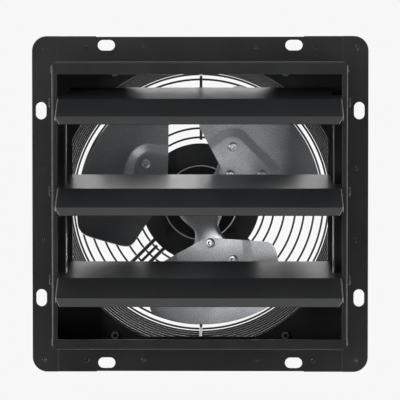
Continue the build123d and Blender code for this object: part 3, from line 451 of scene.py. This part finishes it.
# Sintered bronze: warm and dull from its pores.
sintered_bronze = mill_metal("sintered_bronze", "#B08A57", "#8A6A40", 0.45, pore_size, no_lines)
finish(sintered_bronze, "front_bearing", "rear_bearing")
# Varnished laminations: dark grey, with the edges of the 0.5 mm sheets as fine rings.
varnished_lamination = mill_metal(
    "varnished_lamination", "#6C6E72", "#4E5054", 0.4, lamination, round_the_core)
finish(varnished_lamination, "stator_core", "rotor_core")
# Enamelled copper wire: reddish brown, with lines of 0.7 mm turns.
enamelled_copper = mill_metal(
    "enamelled_copper", "#B5602F", "#8A431D", 0.35, wire_turn, along_the_wire)
finish(enamelled_copper, "stator_windings")


# The fan wheel's hub: a turned steel boss on the shaft, riveted to the spider's disc and gripped by
# a socket screw. Zinc plated.
finish(zinc_plated_steel, "fan_hub", "hub_rivets")


# The spider: a three-armed star pressed from 2 mm steel sheet and zinc plated. Its disc lies flat
# on the hub's flange, the arms twist to the blades' pitch, and the rim is rolled back round the
# waist, which shows as a bright line. The blades are riveted to the front of its arms.
arm_angles = (43, 163, 283)
fan_depth = 48 * mm
pitch = math.radians(20)
camber_r = 300 * mm
spider_sheet = 2 * mm
spider_edge = 0.3 * mm
hub_hole_r = 11.1 * mm
drill_length = 40 * mm
rolled_rim = 2.6 * mm
rim_ends, rim_fades = 44 * mm, 6 * mm
twist_start, twist_end = 18 * mm, 42 * mm
chart_span = 100 * mm
sharp_from, smooth_under = math.radians(50), math.radians(40)
# Outlines are flat, in millimetres: along and across an arm, or along X and Z.
spider_cell = 1.8
spider_ease = 3
disc_r = 26
disc_turns = (48, 60, 72)
arm_edge = [
    (24.0, 14.6), (26.8, 12.8), (31.0, 13.0), (36.0, 14.6), (41.5, 17.6), (48.0, 22.6),
    (56.0, 27.2), (64.0, 28.4), (71.0, 27.4), (75.0, 24.0), (76.2, 19.0),
]


def rounded(corners, reach, steps=4):
    """A closed outline in which each corner is eased into a curve that starts within reach of it,
    and before the middle of its side."""
    points = []
    for before, corner, after in zip(corners[-1:] + corners[:-1], corners, corners[1:] + corners[:1]):
        corner = Vector(corner)
        start, end = [
            corner.lerp(Vector(side), min(0.45, reach / (Vector(side) - corner).length))
            for side in (before, after)
        ]
        for share in np.linspace(0, 1, steps + 1):
            points.append(start.lerp(corner, share).lerp(corner.lerp(end, share), share))
    return points


def turned(point, degrees):
    """A point along and across an arm, turned round the fan's axis."""
    c, s = math.cos(math.radians(degrees)), math.sin(math.radians(degrees))
    return Vector((point[0] * c - point[1] * s, point[0] * s + point[1] * c))


def sheet_blank(name, outline, cell):
    """A flat blank that faces the louvers, cut along X and Z into cells so that it can be pressed."""
    bpy.ops.mesh.primitive_circle_add(vertices=len(outline), fill_type="NGON")
    sheet = bpy.context.object
    sheet.name = name
    for vertex, place in zip(sheet.data.vertices, outline):
        vertex.co = (place[0] * mm, 0, place[1] * mm)
    sheet.data.update()
    turn_over = sheet.data.polygons[0].normal.y > 0
    low = [min(place[axis] for place in outline) for axis in (0, 1)]
    high = [max(place[axis] for place in outline) for axis in (0, 1)]
    bpy.ops.object.mode_set(mode="EDIT")
    if turn_over:
        bpy.ops.mesh.flip_normals()
    for axis, direction in enumerate(((1, 0, 0), (0, 0, 1))):
        for cut in np.arange(low[axis] + cell / 2, high[axis], cell):
            bpy.ops.mesh.select_all(action="SELECT")
            bpy.ops.mesh.bisect(plane_co=[part * cut * mm for part in direction], plane_no=direction)
    bpy.ops.object.mode_set(mode="OBJECT")
    chart = sheet.data.uv_layers.active.data
    for loop in sheet.data.loops:
        place = sheet.data.vertices[loop.vertex_index].co
        chart[loop.index].uv = (place.x / chart_span, place.z / chart_span)
    return sheet


def nearest_on(path, point):
    """The point of a closed path that lies nearest to a point, and how far away it is."""
    best, best_gap = None, math.inf
    for a, b in zip(path, path[1:] + path[:1]):
        run = b - a
        share = max(0, min(1, (point - a).dot(run) / max(run.length_squared, 1e-12)))
        gap = (a + run * share - point).length
        if gap < best_gap:
            best, best_gap = a + run * share, gap
    return best, best_gap


def cambered(across, stand_off):
    """Depth of the curved and pitched sheet across the arm, for a face this far in front of it."""
    local, dip = across / math.cos(pitch), 0
    for _ in range(8):
        dip = math.sqrt((camber_r - stand_off) ** 2 - local ** 2) - camber_r
        local = (across - dip * math.sin(pitch)) / math.cos(pitch)
    return fan_depth + dip * math.cos(pitch) - local * math.sin(pitch)


def thickened(sheet, thickness, edge):
    """Gives a pressed blank its thickness behind its face, and breaks its edges."""
    solid = sheet.modifiers.new("thickness", "SOLIDIFY")
    solid.thickness, solid.offset, solid.use_even_offset = thickness, -1, False
    bpy.ops.object.modifier_apply(modifier=solid.name)
    broken = sheet.modifiers.new("edges", "BEVEL")
    broken.width, broken.segments, broken.angle_limit = edge, 2, sharp_from
    bpy.ops.object.modifier_apply(modifier=broken.name)
    bpy.ops.object.shade_smooth_by_angle(angle=smooth_under)


def press_spider():
    """The star: blanked, twisted, curved and rolled at its rim, then drilled for the hub."""
    corners = []
    for angle in arm_angles:
        corners += [turned((along, -across), angle) for along, across in arm_edge]
        corners += [turned((along, across), angle) for along, across in reversed(arm_edge)]
        corners += [turned((disc_r, 0), angle + degrees) for degrees in disc_turns]
    outline = rounded(corners, spider_ease)
    rim = [place * mm for place in outline]
    sheet = sheet_blank("spider_pressing", outline, spider_cell)
    for vertex in sheet.data.vertices:
        place = Vector((vertex.co.x, vertex.co.z))
        along, across = max((turned(place, -angle) for angle in arm_angles), key=lambda p: p[0])
        twist = min(1, max(0, (along - twist_start) / (twist_end - twist_start)))
        twist = twist * twist * (3 - 2 * twist)
        depth = fan_depth + (cambered(across, 0) - fan_depth) * twist
        curl = max(0, rolled_rim - nearest_on(rim, place)[1])
        fade = min(1, max(0, (rim_ends - along) / rim_fades))
        vertex.co.y = depth + fade * (rolled_rim - math.sqrt(rolled_rim ** 2 - curl ** 2))
    thickened(sheet, spider_sheet, spider_edge)
    bpy.ops.mesh.primitive_cylinder_add(
        vertices=64, radius=hub_hole_r, depth=drill_length, location=(0, fan_depth, 0),
        rotation=(math.pi / 2, 0, 0))
    drill = bpy.context.object
    bpy.ops.object.transform_apply()
    bpy.ops.object.select_all(action="DESELECT")
    bpy.context.view_layer.objects.active = sheet
    sheet.select_set(True)
    bore = sheet.modifiers.new("hub_hole", "BOOLEAN")
    bore.object, bore.operation = drill, "DIFFERENCE"
    bpy.ops.object.modifier_apply(modifier=bore.name)
    bpy.data.objects.remove(drill)
    return sheet


# Passivated zinc: greyer than the fasteners' plating, so that the rolled rim stands out bright.
passivated_zinc = mill_metal("passivated_zinc", "#A9ACAE", "#84888B", 0.4)
spider = press_spider()
spider.data.materials.append(passivated_zinc)
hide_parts("fan_spider")
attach(spider, "fan_wheel")


# The blades: three pressings of 1.2 mm mill-finish aluminium sheet, curved and pitched. Round the
# rivets each has a pad that is pressed back against the spider, open towards the root, with a
# rounded slope up to the blade. One blade is pressed and copied for the three arms.
blade_sheet = 1.2 * mm
blade_edge = 0.25 * mm
blade_rise = 4.2 * mm
long_slope, short_slope = 10 * mm, 8.5 * mm
short_from, short_over = 30 * mm, 8 * mm
blade_cell = 1.25
blade_ease = 4
tip_r = 127
blade_root = [
    (56.4, -69.8), (49.0, -45.0), (42.2, -20.5), (38.6, -8.5), (37.7, 3.8), (39.5, 8.1), (45.8, 31.0),
    (53.2, 58.2), (57.0, 62.4), (63.5, 64.0), (80.0, 64.4), (97.0, 64.8), (106.0, 64.0),
]
blade_tip = [turned((tip_r, 0), degrees) for degrees in range(28, -37, -4)]
blade_trail = [(98.6, -77.0), (92.5, -76.4), (62.4, -72.6)]
pad_edge = [
    (14.0, 43.0), (48.8, 41.7), (67.7, 39.5), (76.4, 35.6), (83.0, 28.6), (84.8, 22.0), (86.4, -21.1),
    (85.2, -29.4), (81.2, -36.4), (75.3, -41.8), (68.9, -44.5), (51.6, -47.2), (14.0, -50.0),
]


def inside(path, point):
    """Whether a point lies within a closed path."""
    crossings = 0
    for a, b in zip(path, path[1:] + path[:1]):
        if (a[1] > point[1]) != (b[1] > point[1]):
            crossings += point[0] < a[0] + (b[0] - a[0]) * (point[1] - a[1]) / (b[1] - a[1])
    return crossings % 2 == 1


def eased(share, ease=0.1):
    """A straight slope from 0 to 1 whose ends are rounded."""
    share = min(1, max(0, share))
    if share < ease:
        return share ** 2 / (2 * ease * (1 - ease))
    if share > 1 - ease:
        return 1 - (1 - share) ** 2 / (2 * ease * (1 - ease))
    return (share - ease / 2) / (1 - ease)


def press_blade():
    """A blade for an arm along X: its face stands forward of the spider, and its pad lies on it."""
    outline = rounded(blade_root + blade_tip + blade_trail, blade_ease)
    sheet = sheet_blank("blade_pressing", outline, blade_cell)
    pad = [place * mm for place in rounded(pad_edge, blade_ease)]
    for vertex in sheet.data.vertices:
        place = Vector((vertex.co.x, vertex.co.z))
        rise = blade_rise
        if inside(pad, place):
            edge, gap = nearest_on(pad, place)
            shorter = eased((edge[1] - short_from) / short_over)
            rise *= 1 - eased(gap / (long_slope + (short_slope - long_slope) * shorter))
        vertex.co.y = cambered(place[1], blade_sheet) - rise
    thickened(sheet, blade_sheet, blade_edge)
    return sheet


# On the chart of 100 mm the rolling lines are 0.7 mm wide and about 20 mm long, the etched grain
# is 1.2 mm and the clouds are 25 mm. Real lines and grain are finer, and these are coarser to show.
line_stretch = (3, 90, 1)
line_scale = 1.6
grain_scale = 85
cloud_scale = 4
grain_low, grain_high = 0.36, 0.64
grain_depth = 0.02 * mm
sheet_polish, sheet_dull = 0.44, 0.56


def rolled_aluminium():
    """Bare sheet as it comes from the mill: rolling lines, speckled grain and dull clouds."""
    material, tree, shader = new_finish("mill_finish_aluminium_sheet", "#C6C8CA", 0.36, 1.0)
    place = add_node(tree, "ShaderNodeTexCoord").outputs["UV"]
    along = add_node(tree, "ShaderNodeMapping", {"Vector": place, "Scale": line_stretch})
    lines = add_node(tree, "ShaderNodeTexNoise", {
        "Vector": along.outputs["Vector"], "Scale": line_scale, "Detail": 3.0}).outputs["Fac"]
    grain = add_node(tree, "ShaderNodeTexNoise", {
        "Vector": place, "Scale": grain_scale, "Detail": 3.0}).outputs["Fac"]
    cloud = add_node(tree, "ShaderNodeTexNoise", {
        "Vector": place, "Scale": cloud_scale, "Detail": 6.0}).outputs["Fac"]
    tone = add_node(tree, "ShaderNodeMix", {
        "Factor": cloud, "A": linear("#D2D4D5"), "B": linear("#A6A9AC")}, data_type="RGBA").outputs["Result"]
    speck = add_node(tree, "ShaderNodeMapRange", {
        "Value": grain, "From Min": grain_low, "From Max": grain_high}).outputs["Result"]
    flecked = add_node(tree, "ShaderNodeMix", {
        "Factor": speck, "A": linear("#9A9DA0"), "B": tone}, data_type="RGBA").outputs["Result"]
    both = add_node(tree, "ShaderNodeMath", {0: lines, 1: grain}, operation="ADD").outputs[0]
    dull = add_node(tree, "ShaderNodeMapRange", {
        "Value": cloud, "From Min": noise_low, "From Max": noise_high,
        "To Min": sheet_polish, "To Max": sheet_dull}).outputs["Result"]
    bump = add_node(tree, "ShaderNodeBump", {"Height": both, "Distance": grain_depth}).outputs["Normal"]
    lay_on(tree, shader, flecked, dull, bump)
    return material


# Mill-finish aluminium: a cool pale grey with fine rolling lines along the sheet, a speckled
# grain as of etched sheet, and dull clouds where hands and the press have touched it.
mill_finish_aluminium_sheet = rolled_aluminium()
pressing = press_blade()
pressing.data.materials.append(mill_finish_aluminium_sheet)
for number, angle in enumerate(arm_angles, 1):
    blade = bpy.data.objects.new(f"blade_{number}", pressing.data.copy())
    bpy.context.scene.collection.objects.link(blade)
    blade.data.transform(Matrix.Rotation(-math.radians(angle), 4, "Y"))
    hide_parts(f"fan_blade_{number}")
    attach(blade, "fan_wheel")
bpy.data.objects.remove(pressing)


# The blade rivets: nine semi-tubular aluminium rivets with low domed heads and a punched hole in
# the middle, set flat on the pad and closed over a washer-like tail behind the spider.
rivet_r = 5 * mm
rivet_rise = 2.2 * mm
rim_drop = 1.1 * mm
tail_r, tail_rise = 4 * mm, 1.6 * mm
dome_round, tail_round = 0.5 * mm, 0.6 * mm
dome_turn, tail_turn, smooth_turn = [math.radians(angle) for angle in (20, 40, 35)]
touch = 0.01 * mm
# From the rim inwards, the width of each ring of the head and how far it steps out: the flat of
# the rim, the dome, its crown, the lip of the hole and the hole.
head_rings = (
    (0.9 * mm, 0), (1.2 * mm, 0.35 * mm), (1.0 * mm, 0.1 * mm), (0.3 * mm, -0.5 * mm), (0.2 * mm, -1.5 * mm),
)
# Along and across the arm, as shares of the blades' tip radius.
rivet_places = ((0.336, -0.008), (0.507, -0.164), (0.526, 0.170))


def turned_blank(radius, length, middle):
    """A plain round of metal along Y, ready to be upset."""
    bpy.ops.mesh.primitive_cylinder_add(
        vertices=40, radius=radius, depth=length, location=(0, middle, 0), rotation=(math.pi / 2, 0, 0))
    bpy.ops.object.transform_apply()
    return bpy.context.object


def round_off(piece, width, turn):
    """Rounds the edges of a piece that turn by more than this."""
    rounding = piece.modifiers.new("rounding", "BEVEL")
    rounding.width, rounding.segments, rounding.angle_limit = width, 3, turn
    bpy.ops.object.modifier_apply(modifier=rounding.name)


def upset_rivet():
    """A rivet along Y, its head towards the louvers and its sheet faces at the arm's level."""
    face = -blade_sheet
    rivet = turned_blank(rivet_r, rivet_rise, face - rivet_rise / 2)
    bpy.ops.object.mode_set(mode="EDIT")
    bpy.ops.mesh.select_all(action="DESELECT")
    bpy.ops.mesh.select_mode(type="FACE")
    bpy.ops.object.mode_set(mode="OBJECT")
    for polygon in rivet.data.polygons:
        polygon.select = polygon.normal.y < -0.9
    bpy.ops.object.mode_set(mode="EDIT")
    for width, step in head_rings:
        bpy.ops.mesh.inset(thickness=width, depth=step)
    bpy.ops.object.mode_set(mode="OBJECT")
    for vertex in rivet.data.vertices:
        on_top = vertex.co.y < face - rivet_rise + touch
        on_rim = math.hypot(vertex.co.x, vertex.co.z) > rivet_r - touch
        if on_top and on_rim:
            vertex.co.y += rim_drop
    round_off(rivet, dome_round, dome_turn)
    tail = turned_blank(tail_r, tail_rise, spider_sheet + tail_rise / 2)
    round_off(tail, tail_round, tail_turn)
    rivet.select_set(True)
    bpy.context.view_layer.objects.active = rivet
    bpy.ops.object.join()
    bpy.ops.object.shade_smooth_by_angle(angle=smooth_turn)
    return rivet


# Mill-finish rivet wire: the brightest aluminium of the wheel, with hardly any pattern.
mill_finish_aluminium = mill_metal("mill_finish_aluminium", "#E4E6E7", "#CDD0D1", 0.42)
rivet = upset_rivet()
rivets = []
for angle in arm_angles:
    for along, across in rivet_places:
        tilt = math.asin(across * tip_r * mm / math.cos(pitch) / camber_r)
        set_rivet = bpy.data.objects.new("set_rivet", rivet.data.copy())
        bpy.context.scene.collection.objects.link(set_rivet)
        set_rivet.data.transform(
            Matrix.Rotation(-math.radians(angle), 4, "Y")
            @ Matrix.Translation((0, fan_depth, 0)) @ Matrix.Rotation(pitch, 4, "X")
            @ Matrix.Translation((0, -camber_r, 0)) @ Matrix.Rotation(-tilt, 4, "X")
            @ Matrix.Translation((along * tip_r * mm, camber_r, 0)))
        rivets.append(set_rivet)
bpy.data.objects.remove(rivet)
bpy.ops.object.select_all(action="DESELECT")
for set_rivet in rivets:
    set_rivet.select_set(True)
bpy.context.view_layer.objects.active = rivets[0]
bpy.ops.object.join()
rivets[0].name = "blade_rivet_set"
rivets[0].data.materials.append(mill_finish_aluminium)
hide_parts("blade_rivets")
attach(rivets[0], "fan_wheel")
